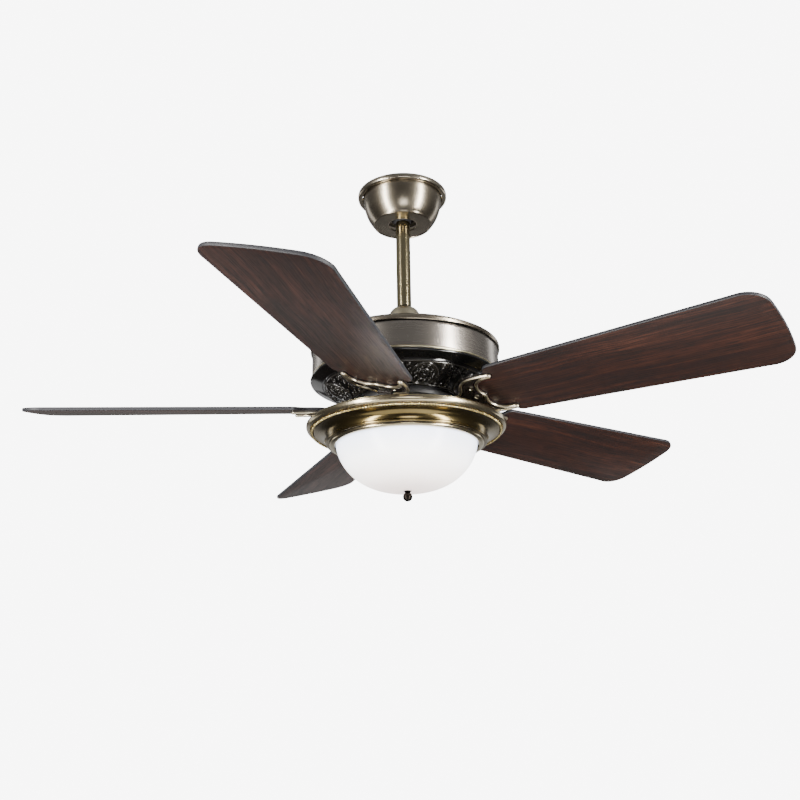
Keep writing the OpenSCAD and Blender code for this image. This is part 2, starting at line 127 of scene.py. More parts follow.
def tidy_mesh(mesh):
    """Joins doubled vertices and turns every face outwards."""
    work = bmesh.new()
    work.from_mesh(mesh)
    bmesh.ops.remove_doubles(work, verts=work.verts, dist=1e-7)
    bmesh.ops.dissolve_degenerate(work, dist=1e-8, edges=work.edges)
    bmesh.ops.recalc_face_normals(work, faces=work.faces)
    work.to_mesh(mesh)
    work.free()


def joined(name, meshes):
    """One mesh that holds all of the given ones, which it takes the place of."""
    work = bmesh.new()
    for part in meshes:
        work.from_mesh(part)
        bpy.data.meshes.remove(part)
    mesh = bpy.data.meshes.new(name)
    work.to_mesh(mesh)
    work.free()
    return mesh


def lathe_mesh(name, path, sheet=0.0):
    """A path of (radius, height) turned round the axis. With a sheet thickness the path is the
    outside of a metal sheet that lies on its right; otherwise it is a closed outline."""
    loop = list(path)
    if sheet:
        loop += list(reversed(beside(path, -sheet)))
    lengths = [0.0]
    for (r0, z0), (r1, z1) in zip(loop, loop[1:]):
        lengths.append(lengths[-1] + math.hypot(r1 - r0, z1 - z0) * MM)
    verts, grain = [], []
    for k in range(SEGMENTS):
        angle = math.pi / 2 + 2 * math.pi * k / SEGMENTS
        c, s = math.cos(angle), math.sin(angle)
        for (r, z), length in zip(loop, lengths):
            verts.append((r * c * MM, r * s * MM, z * MM))
            grain.append((c, s, length))
    count = len(loop)
    faces = []
    for k in range(SEGMENTS):
        here, there = k * count, (k + 1) % SEGMENTS * count
        for i in range(count):
            j = (i + 1) % count
            faces.append((here + i, here + j, there + j, there + i))
    mesh = bpy.data.meshes.new(name)
    mesh.from_pydata(verts, [], faces)
    store_grain(mesh, grain)
    tidy_mesh(mesh)
    return mesh


def lathe(name, path, material, body, nodes, sheet=0.0, sharp=32):
    return add_piece(name, lathe_mesh(name, path, sheet), [material], body, nodes, sharp)


class Shape:
    """Gathers vertices and faces of many small forms into one mesh."""

    def __init__(self):
        self.verts, self.faces, self.paint = [], [], []

    def tube(self, points, radii, sides=8, closed=False, paint=0, flat=1.0):
        """A tube along points, with one radius or one for each point. flat squashes its height."""
        up = Vector((0, 0, 1))
        points = [Vector(p) for p in points]
        count = len(points)
        if not isinstance(radii, (list, tuple)):
            radii = [radii] * count
        first = len(self.verts)
        for i, centre in enumerate(points):
            before = points[i - 1] if closed or i else points[0]
            after = points[(i + 1) % count] if closed or i < count - 1 else points[i]
            along = (after - before).normalized()
            side = along.cross(up).normalized()
            lift = side.cross(along)
            for k in range(sides):
                angle = 2 * math.pi * k / sides
                offset = side * math.cos(angle) + lift * math.sin(angle) * flat
                self.verts.append(centre + offset * radii[i])
        for i in range(count if closed else count - 1):
            a, b = first + i * sides, first + (i + 1) % count * sides
            for k in range(sides):
                self.add_face((a + k, a + (k + 1) % sides, b + (k + 1) % sides, b + k), paint)
        if not closed:
            self.add_face(tuple(first + k for k in reversed(range(sides))), paint)
            self.add_face(tuple(first + (count - 1) * sides + k for k in range(sides)), paint)

    def ball(self, centre, radius, paint=0, squash=1.0, rings=6, sides=10):
        """A ball, or with squash below 1 a flattened one."""
        centre = Vector(centre)
        first = len(self.verts)
        for i in range(1, rings):
            polar = math.pi * i / rings
            for k in range(sides):
                angle = 2 * math.pi * k / sides
                self.verts.append(centre + radius * Vector((
                    math.sin(polar) * math.cos(angle),
                    math.sin(polar) * math.sin(angle),
                    math.cos(polar) * squash)))
        top, foot = len(self.verts), len(self.verts) + 1
        pole = Vector((0, 0, radius * squash))
        self.verts += [centre + pole, centre - pole]
        for i in range(rings - 2):
            a, b = first + i * sides, first + (i + 1) * sides
            for k in range(sides):
                self.add_face((a + k, b + k, b + (k + 1) % sides, a + (k + 1) % sides), paint)
        last = first + (rings - 2) * sides
        for k in range(sides):
            self.add_face((top, first + k, first + (k + 1) % sides), paint)
            self.add_face((foot, last + (k + 1) % sides, last + k), paint)

    def rings(self, sections):
        """Skins a row of closed sections that all have the same number of points."""
        first, count = len(self.verts), len(sections[0])
        for section in sections:
            self.verts += [Vector(p) for p in section]
        for i in range(len(sections) - 1):
            a, b = first + i * count, first + (i + 1) * count
            for k in range(count):
                self.add_face((a + k, a + (k + 1) % count, b + (k + 1) % count, b + k))
        last = first + (len(sections) - 1) * count
        self.add_face(tuple(first + k for k in reversed(range(count))))
        self.add_face(tuple(last + k for k in range(count)))

    def add_face(self, face, paint=0):
        self.faces.append(face)
        self.paint.append(paint)

    def mesh(self, name, place=Matrix.Identity(4)):
        """The gathered forms as one mesh in metres, moved to its place."""
        mesh = bpy.data.meshes.new(name)
        mesh.from_pydata([place @ (v * MM) for v in self.verts], [], self.faces)
        mesh.polygons.foreach_set("material_index", self.paint)
        tidy_mesh(mesh)
        return mesh


# ---- Materials ----

class Look:
    """The nodes of one procedural material, or of a world, with short calls for the usual ones."""

    def __init__(self, name, kind="materials", shader="Principled BSDF", **constants):
        self.made = getattr(bpy.data, kind).new(name)
        self.made.use_nodes = True
        self.tree = self.made.node_tree
        self.shader = self.tree.nodes[shader]
        for socket, value in constants.items():
            self.shader.inputs[socket.replace("_", " ")].default_value = value

    def node(self, kind, inputs=None, **settings):
        made = self.tree.nodes.new(kind)
        for key, value in settings.items():
            setattr(made, key, value)
        for key, value in (inputs or {}).items():
            if isinstance(value, bpy.types.NodeSocket):
                self.tree.links.new(value, made.inputs[key])
            else:
                made.inputs[key].default_value = value
        return made

    def link(self, output, socket):
        self.tree.links.new(output, self.shader.inputs[socket])

    def place(self, scale, source="object"):
        """Texture space: the object's own metres, or the stored grain. scale is one number or three."""
        if not isinstance(scale, tuple):
            scale = (scale, scale, scale)
        if source == "object":
            vector = self.node("ShaderNodeTexCoord").outputs["Object"]
        else:
            vector = self.node("ShaderNodeAttribute", attribute_name="grain").outputs["Vector"]
        return self.node("ShaderNodeMapping", {"Vector": vector, "Scale": scale}).outputs["Vector"]

    def noise(self, vector, detail=4.0, rough=0.55, warp=0.0):
        inputs = {"Vector": vector, "Scale": 1.0, "Detail": detail, "Roughness": rough,
                  "Distortion": warp}
        return self.node("ShaderNodeTexNoise", inputs).outputs["Fac"]

    def ramp(self, value, stops):
        """Colours along a value: stops are (position, colour)."""
        made = self.node("ShaderNodeValToRGB", {"Fac": value})
        elements = made.color_ramp.elements
        while len(elements) < len(stops):
            elements.new(1.0)
        for element, (position, colour) in zip(elements, stops):
            element.position = position
            element.color = (*colour, 1.0)
        return made.outputs["Color"]

    def span(self, value, low, high, start=0.0, stop=1.0):
        """Runs from low to high as value runs from start to stop."""
        inputs = {"Value": value, "From Min": start, "From Max": stop, "To Min": low, "To Max": high}
        return self.node("ShaderNodeMapRange", inputs).outputs["Result"]

    def tones(self, value, dark, light, start, stop):
        """Base colour from dark to light as value runs from start to stop."""
        share = self.span(value, 0.0, 1.0, start, stop)
        self.link(self.ramp(share, [(0.0, dark), (1.0, light)]), "Base Color")

    def add(self, a, b, weight=1.0):
        """a plus weight times b."""
        return self.node("ShaderNodeMath", {0: b, 1: weight, 2: a}, operation="MULTIPLY_ADD").outputs[0]

    def bump(self, height, strength, distance):
        """Bump with its distance in mm."""
        inputs = {"Height": height, "Strength": strength, "Distance": distance * MM}
        self.link(self.node("ShaderNodeBump", inputs).outputs["Normal"], "Normal")


def spun_metal(name, dark, light, rough, brush=0.2):
    """Lathe-brushed metal: fine lines run round the axis, over a slow change of tone."""
    look = Look(name, Metallic=1.0)
    lines = look.noise(look.place((1.6, 1.6, 2600.0), "grain"), detail=5.0, rough=0.7)
    tone = look.noise(look.place((1.3, 1.3, 22.0), "grain"), detail=3.0)
    smudge = look.noise(look.place(14.0), detail=4.0)
    value = look.add(look.add(tone, lines, brush), smudge, 0.2)
    look.tones(value, dark, light, 0.4, 0.6 + brush + 0.2)
    look.link(look.span(look.add(lines, smudge, 0.6), rough[0], rough[1], 0.35, 1.1), "Roughness")
    look.bump(lines, 0.05, 0.04)
    return look.made


def drawn_metal(name, dark, light, rough):
    """Drawn tube: faint lines that run along Z, under a clear satin lacquer."""
    look = Look(name, Metallic=1.0)
    lines = look.noise(look.place((420.0, 420.0, 5.0)), detail=4.0)
    slow = look.noise(look.place((30.0, 30.0, 12.0)), detail=2.0)
    value = look.add(lines, slow, 0.5)
    look.tones(value, dark, light, 0.45, 1.05)
    look.link(look.span(value, rough[0], rough[1], 0.45, 1.05), "Roughness")
    look.bump(lines, 0.01, 0.03)
    return look.made


def plain_metal(name, dark, light, rough, grain=420.0, bump=0.06, metallic=1.0, coat=0.0):
    """Metal or enamel with a fine grain and slow blotches."""
    look = Look(name, Metallic=metallic, Coat_Weight=coat, Coat_Roughness=0.08)
    fine = look.noise(look.place(grain), detail=4.0, rough=0.6)
    slow = look.noise(look.place(26.0), detail=5.0, warp=0.4)
    value = look.add(slow, fine, 0.3)
    look.tones(value, dark, light, 0.4, 0.95)
    look.link(look.span(value, rough[0], rough[1], 0.4, 0.95), "Roughness")
    look.bump(fine, bump, 0.08)
    return look.made


def moulded(name, colour, rough, relief=0.1, sheen=0.0):
    """Moulded plastic, rubber or ceramic: a faint texture and a little change of tone."""
    look = Look(name, Sheen_Weight=sheen)
    fine = look.noise(look.place(900.0), detail=3.0)
    slow = look.noise(look.place(35.0), detail=3.0)
    shade = tuple(c * 0.86 for c in colour)
    look.tones(slow, shade, colour, 0.3, 0.7)
    look.link(look.span(look.add(slow, fine, 0.5), rough - 0.05, rough + 0.08, 0.5, 1.0), "Roughness")
    look.bump(fine, relief, 0.1)
    return look.made


def aged_brass(name, dark, mid, light, rough):
    """Antique brass: dark patina in slow patches, with rubbed bright metal between them."""
    look = Look(name, Metallic=1.0)
    patina = look.noise(look.place(55.0), detail=6.0, rough=0.65, warp=0.8)
    speck = look.noise(look.place(600.0), detail=3.0)
    value = look.add(patina, speck, 0.25)
    stops = [(0.0, dark), (0.45, mid), (1.0, light)]
    look.link(look.ramp(look.span(value, 0.0, 1.0, 0.42, 0.85), stops), "Base Color")
    look.link(look.span(value, rough[1], rough[0], 0.42, 0.85), "Roughness")
    look.bump(speck, 0.08, 0.06)
    return look.made


def walnut(name, seed):
    """Dark walnut veneer: long streaks, growth bands and pores that follow the blade."""
    look = Look(name, Coat_Weight=0.05, Coat_Roughness=0.3, Specular_IOR_Level=0.3)
    here = look.node("ShaderNodeAttribute", attribute_name="grain").outputs["Vector"]
    offset = (seed, seed * 0.37, 0.0)
    moved = look.node("ShaderNodeMapping", {"Vector": here, "Location": offset}).outputs["Vector"]
    wander = look.node("ShaderNodeTexNoise", {"Vector": moved, "Scale": 5.0, "Detail": 3.0})
    bent = look.node("ShaderNodeVectorMath", {0: wander.outputs["Color"], 1: (0.0, 0.022, 0.0)},
                     operation="MULTIPLY")
    fibres = look.node("ShaderNodeVectorMath", {0: moved, 1: bent.outputs["Vector"]}).outputs["Vector"]

    def along(scale):
        return look.node("ShaderNodeMapping", {"Vector": fibres, "Scale": scale}).outputs[0]

    bands = look.noise(along((2.2, 64.0, 1.0)), detail=6.0, rough=0.6, warp=0.2)
    streaks = look.noise(along((7.0, 330.0, 1.0)), detail=5.0, rough=0.7)
    pores = look.noise(along((60.0, 1500.0, 1.0)), detail=2.0)
    cloud = look.noise(along((4.0, 9.0, 1.0)), detail=2.0)
    flecks = look.span(look.noise(along((20.0, 430.0, 1.0)), detail=3.0, rough=0.6), -0.5, 0.0, 0.36, 0.46)
    value = look.add(look.add(look.add(streaks, bands, 0.6), pores, 0.24), cloud, 0.3)
    value = look.add(value, flecks, 0.6)
    stops = [(0.0, (0.0036, 0.0016, 0.0013)), (0.35, (0.0080, 0.0029, 0.0020)),
             (0.6, (0.0150, 0.0048, 0.0029)), (0.82, (0.026, 0.0085, 0.0050)),
             (1.0, (0.046, 0.0165, 0.0095))]
    look.link(look.ramp(look.span(value, 0.0, 1.0, 0.78, 1.26), stops), "Base Color")
    look.link(look.span(value, 0.56, 0.44, 0.78, 1.26), "Roughness")
    look.bump(look.add(streaks, pores, 0.8), 0.16, 0.12)
    return look.made


def opal_glass(name, foot, depth):
    """White opal glass with a painted glow: it shines with its own colour, though no lamp lights it. Cool
    at its top, darker and warmer towards its foot, with a satin skin.
    """
    look = Look(name, Roughness=0.3, Subsurface_Weight=0.35, Subsurface_Radius=(0.02, 0.018, 0.015),
                Subsurface_Scale=0.4, Coat_Weight=0.25, Coat_Roughness=0.25, Emission_Strength=2.9)
    here = look.node("ShaderNodeTexCoord").outputs["Object"]
    height = look.node("ShaderNodeSeparateXYZ", {"Vector": here}).outputs["Z"]
    cloud = look.noise(look.place(11.0), detail=3.0)
    level = look.add(look.span(height, 0.0, 1.0, foot * MM, (foot + depth) * MM), cloud, 0.12)
    stops = [(0.0, (0.50, 0.42, 0.39)), (0.22, (0.78, 0.72, 0.69)), (0.55, (0.95, 0.94, 0.93)),
             (1.0, (0.70, 0.76, 0.92))]
    colour = look.ramp(level, stops)
    look.link(colour, "Base Color")
    # Painted glow: the same colour, darker towards the foot, is also emitted at Emission_Strength 2.9.
    look.link(colour, "Emission Color")
    ripple = look.noise(look.place(60.0), detail=2.0)
    look.bump(ripple, 0.03, 0.2)
    return look.made


# Names follow the material slots. Colours are linear, and the last pair is the roughness.
BRONZE = spun_metal("brushed_bronze", (0.19, 0.162, 0.122), (0.35, 0.305, 0.235), (0.20, 0.29), brush=0.14)
BAND = spun_metal("band_bronze", (0.25, 0.222, 0.193), (0.40, 0.362, 0.318), (0.21, 0.29), brush=0.26)
ROD = drawn_metal("rod_brass", (0.27, 0.225, 0.13), (0.38, 0.325, 0.20), (0.18, 0.24))
PALE = spun_metal("pale_brass", (0.40, 0.35, 0.235), (0.60, 0.54, 0.39), (0.24, 0.34), brush=0.1)
PAN = spun_metal("pan_brass", (0.105, 0.077, 0.030), (0.20, 0.152, 0.066), (0.14, 0.22), brush=0.08)
PALE_RIM = spun_metal("canopy_rim_bronze", (0.27, 0.235, 0.18), (0.46, 0.41, 0.325), (0.18, 0.28),
                      brush=0.1)
RIM = spun_metal("rim_brass", (0.29, 0.245, 0.155), (0.48, 0.415, 0.28), (0.17, 0.25), brush=0.08)
GILT = aged_brass("gilt_brass", (0.16, 0.115, 0.04), (0.42, 0.33, 0.145), (0.68, 0.56, 0.30), (0.18, 0.34))
# The rope's core is painted near black: painted shade in the gaps between the beads, not patina.
ROPE_CORE_SHADE = aged_brass("rope_core_painted_shade", (0.008, 0.006, 0.003), (0.022, 0.017, 0.008),
                       (0.05, 0.038, 0.018), (0.35, 0.5))
ENAMEL = plain_metal("black_enamel", (0.0025, 0.0025, 0.0025), (0.007, 0.0065, 0.006), (0.07, 0.13),
                     metallic=0.0, coat=0.25, bump=0.015)
FILIGREE = plain_metal("filigree_enamel", (0.010, 0.0092, 0.008), (0.040, 0.036, 0.030), (0.12, 0.24),
                       metallic=0.3, coat=0.4)
IRON = plain_metal("iron_bronze", (0.012, 0.010, 0.009), (0.045, 0.037, 0.030), (0.22, 0.38),
                   metallic=0.6, coat=0.3)
IRON_RIM = aged_brass("iron_rim_brass", (0.34, 0.29, 0.20), (0.52, 0.455, 0.33),
                      (0.66, 0.60, 0.46), (0.26, 0.36))
ANTIQUE = aged_brass("antique_brass", (0.10, 0.08, 0.045), (0.34, 0.28, 0.16),
                     (0.62, 0.54, 0.36), (0.2, 0.4))
SCREW = aged_brass("screw_brass", (0.30, 0.27, 0.20), (0.60, 0.55, 0.42), (0.85, 0.80, 0.66), (0.15, 0.3))
DARK = plain_metal("dark_bronze", (0.006, 0.0052, 0.0046), (0.018, 0.015, 0.0125), (0.28, 0.38))
EDGE = moulded("blade_edge_band", (0.014, 0.0145, 0.018), 0.55)
ZINC = plain_metal("zinc_steel", (0.38, 0.39, 0.40), (0.62, 0.62, 0.60), (0.28, 0.45))
STEEL = plain_metal("bearing_steel", (0.50, 0.51, 0.52), (0.70, 0.70, 0.71), (0.12, 0.22))
WHITE = moulded("white_plastic", (0.78, 0.77, 0.73), 0.42)
BLACK = moulded("black_plastic", (0.030, 0.030, 0.032), 0.48)
WHITE_ENAMEL = moulded("white_enamel", (0.82, 0.81, 0.78), 0.25, relief=0.03)
FELT = moulded("felt_rubber", (0.55, 0.53, 0.48), 0.85, relief=0.5, sheen=0.4)
CAP = plain_metal("lamp_cap_metal", (0.50, 0.49, 0.45), (0.72, 0.70, 0.65), (0.25, 0.4))
BULB = moulded("bulb_glass", (0.88, 0.86, 0.78), 0.2, relief=0.02)
WIRE = moulded("wire_insulation", (0.10, 0.10, 0.11), 0.5)
CAST = plain_metal("cast_iron", (0.06, 0.06, 0.062), (0.17, 0.17, 0.17), (0.45, 0.65),
                   grain=260.0, bump=0.3)
BLACKENED = plain_metal("black_steel", (0.02, 0.02, 0.022), (0.07, 0.07, 0.07), (0.3, 0.5))
LAMINATED = spun_metal("laminated_steel", (0.12, 0.12, 0.125), (0.38, 0.38, 0.38), (0.35, 0.55), brush=1.0)
COPPER = aged_brass("copper_wire", (0.22, 0.07, 0.03), (0.50, 0.20, 0.09), (0.70, 0.34, 0.18), (0.25, 0.4))
ROTOR = plain_metal("rotor_aluminium", (0.36, 0.37, 0.38), (0.58, 0.58, 0.58), (0.35, 0.5), grain=300.0)
FLYWHEEL = plain_metal("flywheel_black", (0.012, 0.012, 0.012), (0.035, 0.035, 0.035), (0.35, 0.5),
                       metallic=0.2)

# The slots of the CAD nodes that still show.
SLOT_LOOKS = {
    "zinc_steel": ZINC, "antique_brass": ROD, "pan_brass": ANTIQUE, "white_plastic": WHITE,
    "black_plastic": BLACK, "white_enamel": WHITE_ENAMEL, "felt_rubber": FELT,
    "lamp_cap_metal": CAP, "bulb_glass": BULB, "wire_insulation": WIRE, "cast_iron": CAST,
    "black_steel": BLACKENED, "laminated_steel": LAMINATED, "copper_wire": COPPER,
    "rotor_aluminium": ROTOR, "bearing_steel": STEEL, "flywheel_black": FLYWHEEL,
}


def dress_cad_nodes():
    """Puts each CAD node's look in its object's material slots. The meshes stay as they are."""
    slots = {part["node"]: part["material_slot"] for part in frame["record"]["subparts"]}
    for name, node in frame["nodes"].items():
        if slots[name] not in SLOT_LOOKS:
            continue
        for holder in node.material_slots:
            holder.link = "OBJECT"
            holder.material = SLOT_LOOKS[slots[name]]


# ---- Canopy and rod ----

def build_canopy():
    r, top, foot = round_node("canopy")
    foot_r, hole_r = r - 22, r - 50
    skirt = 8.0
    wall = [(r, top), (r, -skirt)]
    wall += curve((r, -skirt - 5), (r - 4, foot + 20), (foot_r + 2.6, foot + 2.4), 20)
    wall += arc((foot_r + 0.2, foot + 2.2), 2.2, -5, -90, 6)
    wall += [(foot_r - 1.6, foot), (foot_r - 2.2, foot + 0.8), (hole_r + 3.0, foot + 0.8)]
    wall += arc((hole_r + 2.6, foot + 2.8), 2.0, -90, -180, 5)
    lathe("canopy_bowl", wall, BRONZE, "ceiling", ["canopy"], sheet=SHEET)
    r, top, foot = round_node("canopy_ring")
    inner = round_node("canopy")[0]
    roll_r = 3.4
    rim = [(inner + 2, top), (r - roll_r - 0.2, top + 0.1)]
    rim += arc((r - roll_r, top - roll_r), roll_r, 85, 0, 8)
    rim += arc((r - roll_r, foot + roll_r), roll_r, 0, -90, 8)
    rim += [(inner + 2.6, foot), (inner + 1.2, foot + 0.6)]
    lathe("canopy_rim_ring", rim, PALE_RIM, "ceiling", ["canopy_ring"], sheet=SHEET)


def build_rod_and_trim():
    r, top, foot = round_node("downrod")
    bore, chamfer, rows = r - 2.85, 0.6, 16
    tube = [(bore, foot + 0.4), (bore + 0.4, foot), (r - chamfer, foot), (r, foot + chamfer)]
    tube += [(r, foot + chamfer + (top - foot - 2 * chamfer) * i / rows) for i in range(1, rows + 1)]
    tube += [(r - chamfer, top), (bore + 0.4, top), (bore, top - 0.4)]
    lathe("downrod_tube", tube, ROD, "hanger", ["downrod"])
    r, top, foot = round_node("rod_collar")
    inner = r - 1.3
    section = [(inner, foot), (r - 0.4, foot), (r, foot + 0.5), (r, top - 0.6), (r - 0.5, top),
               (inner, top)]
    lathe("rod_collar_ring", section, DARK, "hanger", ["rod_collar"])
    r, top, foot = round_node("coupling_cover")
    neck = r - 23.6
    bell = [(neck, top), (neck + 0.9, top)]
    bell += curve((neck + 1.6, top - 0.6), (neck + 10.6, top - 2), (neck + 14.6, top - 14), 16)
    bell += curve((neck + 15.6, top - 22), (neck + 17.6, foot + 5), (r - 1.2, foot + 2.6), 10)
    bell += arc((r - 1.2, foot + 1.3), 1.2, 90, -90, 6)
    lathe("coupling_bell", bell, PALE, "hanger", ["coupling_cover"], sheet=THIN_SHEET)


# ---- Motor housing ----

def housing_margin_and_bowl(band_foot):
    """The lower housing's outside, from its smooth margin in to the hole for the flywheel."""
    margin_r, bowl_r, hole_r = 166, 147, 96
    margin = curve((margin_r, band_foot - 8.8), (margin_r - 8, band_foot - 11.6),
                   (margin_r - 16, band_foot - 13.6), 8)
    bowl = curve((bowl_r, band_foot - 15), (bowl_r - 10, band_foot - 27), (hole_r, band_foot - 44), 24)
    return margin, bowl


def build_housing():
    lip_r, top, foot = round_node("housing_dome")
    dome = [(20, top), (30, top)]
    lip_roll = 3.4
    dome += curve((40, top), (140, top - 22), (lip_r - lip_roll, foot + 9.6), 24)
    dome += arc((lip_r - lip_roll, foot + 5.6), lip_roll, 80, 0, 8)
    dome += [(lip_r, foot + 2.6), (lip_r - 0.5, foot + 0.9), (lip_r - 1.6, foot)]
    lathe("housing_top_cover", dome, BRONZE, "hanger", ["housing_dome"], sheet=SHEET)
    r, top, foot = round_node("housing_band")
    band = [(r - 4, top), (r - 2.2, top - 0.2), (r - 0.7, top - 1.1), (r, top - 2.6)]
    rows = 12
    band += [(r, top - 2.6 - (top - foot - 4) * i / rows) for i in range(1, rows)]
    band += [(r - 0.3, foot + 0.6), (r - 0.8, foot)]
    lathe("housing_side_band", band, BAND, "hanger", ["housing_band"], sheet=SHEET)
    bead_r, _, bead_foot = round_node("band_bead")
    wire_r = 2.2
    bead = arc((bead_r - wire_r, bead_foot + wire_r), wire_r, 68, -248, 20)
    lathe("band_foot_bead", bead, PALE, "hanger", ["band_bead"])
    band_foot = foot - 1.0
    neck = [(r - 6, band_foot + 2), (r - 5.6, band_foot - 1), (r - 5.0, band_foot - 2.6),
            (r - 3, band_foot - 3.6)]
    lip = arc((r + 0.8, band_foot - 6), 2.2, 90, -70, 10)
    margin, bowl = housing_margin_and_bowl(band_foot)
    bowl_r = bowl[0][0]
    groove = [(bowl_r + 2.2, band_foot - 13.2), (bowl_r + 1.0, band_foot - 13.4)]
    lathe("housing_lower_bowl", neck + lip + margin + groove + bowl, ENAMEL, "hanger",
          ["lower_housing"], sheet=SHEET, sharp=40)
    return band_foot


def build_filigree(band_foot):
    """Rings, rosettes, scrolls, leaves and pearls that lie on the lower housing's bowl."""
    bowl = housing_margin_and_bowl(band_foot)[1]
    medallions, first_turn, middle_r = 8, -75, 121.0
    step = 360 / medallions
    wing_turn = 10.8            # degrees from the middle of a gap to its side sprays
    shape = Shape()

    def on_bowl(radius, angle, lift=0.0):
        """A point on the bowl, or lift above its skin."""
        radius = min(max(radius, bowl[-1][0]), bowl[0][0])
        for (r0, z0), (r1, z1) in zip(bowl, bowl[1:]):
            if r1 <= radius <= r0:
                share = (r0 - radius) / (r0 - r1)
                break
        slope = math.atan2(z0 - z1, r0 - r1)
        r = radius + lift * math.sin(slope)
        z = z0 + (z1 - z0) * share - lift * math.cos(slope)
        return Vector((r * math.cos(angle), r * math.sin(angle), z))

    def flat_frame(turn):
        """Maps flat (u round the axis, v outwards) millimetres about a centre onto the bowl."""
        angle = math.radians(turn)

        def place(u, v, lift=0.0):
            radius = middle_r + v * 0.9
            return on_bowl(radius, angle + u / radius, lift)

        return place

    def ring(place, radius, thick, lift, count):
        points = []
        for k in range(count):
            turn = 2 * math.pi * k / count
            points.append(place(radius * math.cos(turn), radius * math.sin(turn), lift))
        shape.tube(points, thick, sides=8, closed=True)

    def scroll(place, centre, start_r, end_r, start, turns, thick, lift=0.6, count=22):
        """A spiral that narrows to a bud."""
        points, radii = [], []
        for k in range(count):
            t = k / (count - 1)
            radius = start_r + (end_r - start_r) * t
            turn = start + 2 * math.pi * turns * t
            u, v = centre[0] + radius * math.cos(turn), centre[1] + radius * math.sin(turn)
            points.append(place(u, v, lift))
            radii.append(thick * (0.45 + 0.75 * math.sin(math.pi * (0.12 + 0.78 * t))))
        shape.tube(points, radii, sides=6)
        shape.ball(points[-1], thick * 1.5, squash=0.9, rings=5, sides=8)

    def leaf(place, root, tip, width, lift=0.4, steps=8):
        """A leaf that is widest in its middle and bows a little to one side."""
        points, radii = [], []
        du, dv = tip[0] - root[0], tip[1] - root[1]
        for k in range(steps + 1):
            t = k / steps
            bow = 0.18 * math.sin(math.pi * t) * math.hypot(du, dv)
            points.append(place(root[0] + du * t + bow, root[1] + dv * t, lift))
            radii.append(max(width * math.sin(math.pi * (0.08 + 0.84 * t)), 0.25))
        shape.tube(points, radii, sides=8, flat=0.6)

    def medallion(place):
        """A rosette of eight petals in a ring of nine scrolls."""
        petals, curls = 8, 9
        ring(place, 24, 1.7, 0.5, 72)
        ring(place, 20.6, 0.8, 0.4, 64)
        ring(place, 11, 1.4, 0.6, 44)
        shape.ball(place(0, 0, 0.6), 2.6, squash=0.9, rings=7, sides=12)
        for petal in range(petals):
            turn = 2 * math.pi * petal / petals
            root = (3.2 * math.cos(turn), 3.2 * math.sin(turn))
            tip = (9.0 * math.cos(turn), 9.0 * math.sin(turn))
            leaf(place, root, tip, 1.5)
        for curl in range(curls):
            turn = 2 * math.pi * curl / curls
            centre = (15.8 * math.cos(turn), 15.8 * math.sin(turn))
            scroll(place, centre, 3.6, 0.9, turn + 0.6, 1.3, 0.85)
            pearl = turn + math.pi / curls
            shape.ball(place(18.0 * math.cos(pearl), 18.0 * math.sin(pearl), 0.8), 1.1, rings=5, sides=8)

    def gap_ornament(between, wing, side):
        """Scrolls, leaves and pearls on one side of the gap between two medallions."""
        scroll(between, (side * 9.5, 19.0), 6.5 * side, 1.2, math.pi / 2, -1.4 * side, 1.2)
        scroll(between, (side * 5.5, 8.0), 4.4 * side, 1.0, -math.pi / 2, 1.2 * side, 1.0)
        scroll(between, (side * 5.6, -17.5), 4.2 * side, 1.0, math.pi / 2, 1.3 * side, 1.0)
        leaf(between, (side * 1.5, 14), (side * 8.0, 27.5), 1.6)
        leaf(between, (side * 1.0, -3.0), (side * 6.0, -11.0), 1.3)
        scroll(wing, (side * 2.0, 20.5), 4.6 * side, 1.0, math.pi / 3, 1.5 * side, 1.05)
        scroll(wing, (side * 3.0, -19.5), 3.6 * side, 0.9, -math.pi / 3, -1.4 * side, 0.95)
        leaf(wing, (side * 3.5, 12.0), (side * 2.0, 4.0), 1.5)
        leaf(wing, (side * 3.0, -5.0), (side * 2.5, -13.5), 1.4)
        scroll(wing, (side * -1.5, 0.0), 3.4 * side, 0.9, 0.0, 1.4 * side, 0.95)
        shape.ball(wing(0.0, 12.8, 0.7), 1.2, rings=5, sides=8)
        shape.ball(wing(0.0, -12.5, 0.7), 1.1, rings=5, sides=8)

    for sector in range(medallions):
        turn = first_turn + step * sector
        medallion(flat_frame(turn))
        between = flat_frame(turn + step / 2)
        for side in (-1, 1):
            gap_ornament(between, flat_frame(turn + step / 2 - side * wing_turn), side)
        for v in (26.0, 21.5, 17.5, 2.0, -1.5, -5.0, -9.5, -23.0):
            shape.ball(between(0, v, 0.7), 1.35 if v > 0 else 1.05, rings=6, sides=9)
    for radius, thick, count in ((144.6, 1.5, 240), (99.0, 1.2, 180)):
        points = [on_bowl(radius, 2 * math.pi * k / count, 0.3) for k in range(count)]
        shape.tube(points, thick, sides=8, closed=True)
    mesh = shape.mesh("housing_filigree")
    add_piece("housing_filigree", mesh, [FILIGREE], "hanger",
              ["housing_medallions"], sharp=50)


# ---- Light kit ----

